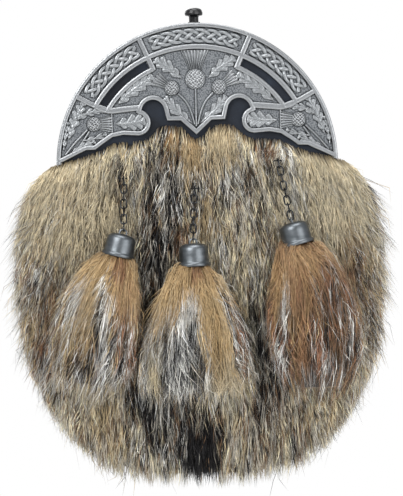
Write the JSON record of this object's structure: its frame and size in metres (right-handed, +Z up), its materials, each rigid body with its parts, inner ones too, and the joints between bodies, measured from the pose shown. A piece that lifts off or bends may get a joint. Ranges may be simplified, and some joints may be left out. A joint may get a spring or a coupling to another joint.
{
  "type": "full-dress sporran pouch",
  "caption": "Full-dress sporran: cast half-disc cantle with thistles and plaited bands, leather pouch, long-haired fur front, tassels with metal caps on chains, push-button catch.",
  "frame": {"origin": "on the flat leather back, midway between the two belt loops, where the strap holds the sporran", "axes": "+Z up as worn, -Y out of the front of the sporran, +X to the right as seen from the front"},
  "size_m": [0.2087, 0.0828, 0.2611],
  "materials": {
    "antiqued_pewter": "cast pewter, darkened in its recesses and polished on its rims",
    "black_leather": "smooth black dyed leather, satin",
    "blued_steel": "darkened steel, satin",
    "black_enamel": "black enamel, semi-gloss",
    "gunmetal": "dark nickel with a polished rolled edge",
    "grizzled_fur": "long grizzled hair: cream, tan, grey and black",
    "tawny_fur": "long tawny hair with black and silver tips"
  },
  "bodies": {
    "sporran": {"cantle": "antiqued_pewter", "cantle_backing": "black_leather", "purse_frame": "blued_steel", "knob_collar": "black_enamel", "pouch": "black_leather", "belt_loop_left": "black_leather", "belt_loop_right": "black_leather", "fur_body": "grizzled_fur", "chain_anchor_left": "blued_steel", "link_left_1": "blued_steel", "link_left_2": "blued_steel", "link_left_3": "blued_steel", "link_left_4": "blued_steel", "link_left_5": "blued_steel", "link_left_6": "blued_steel", "link_left_7": "blued_steel", "tassel_cap_left": "gunmetal", "tassel_left": "tawny_fur", "chain_anchor_middle": "blued_steel", "link_middle_1": "blued_steel", "link_middle_2": "blued_steel", "link_middle_3": "blued_steel", "link_middle_4": "blued_steel", "link_middle_5": "blued_steel", "link_middle_6": "blued_steel", "link_middle_7": "blued_steel", "tassel_cap_middle": "gunmetal", "tassel_middle": "tawny_fur", "chain_anchor_right": "blued_steel", "link_right_1": "blued_steel", "link_right_2": "blued_steel", "link_right_3": "blued_steel", "link_right_4": "blued_steel", "link_right_5": "blued_steel", "link_right_6": "blued_steel", "link_right_7": "blued_steel", "link_right_8": "blued_steel", "tassel_cap_right": "gunmetal", "tassel_right": "tawny_fur"},
    "push_button": {"knob": "black_enamel"}
  },
  "joints": [
    {"name": "knob_press", "type": "slide", "parent": "sporran", "child": "push_button", "axis": [0, 0, 1], "range_m": [-0.0025, 0], "stiffness_N_per_m": 500, "springref_m": 0.002}
  ]
}
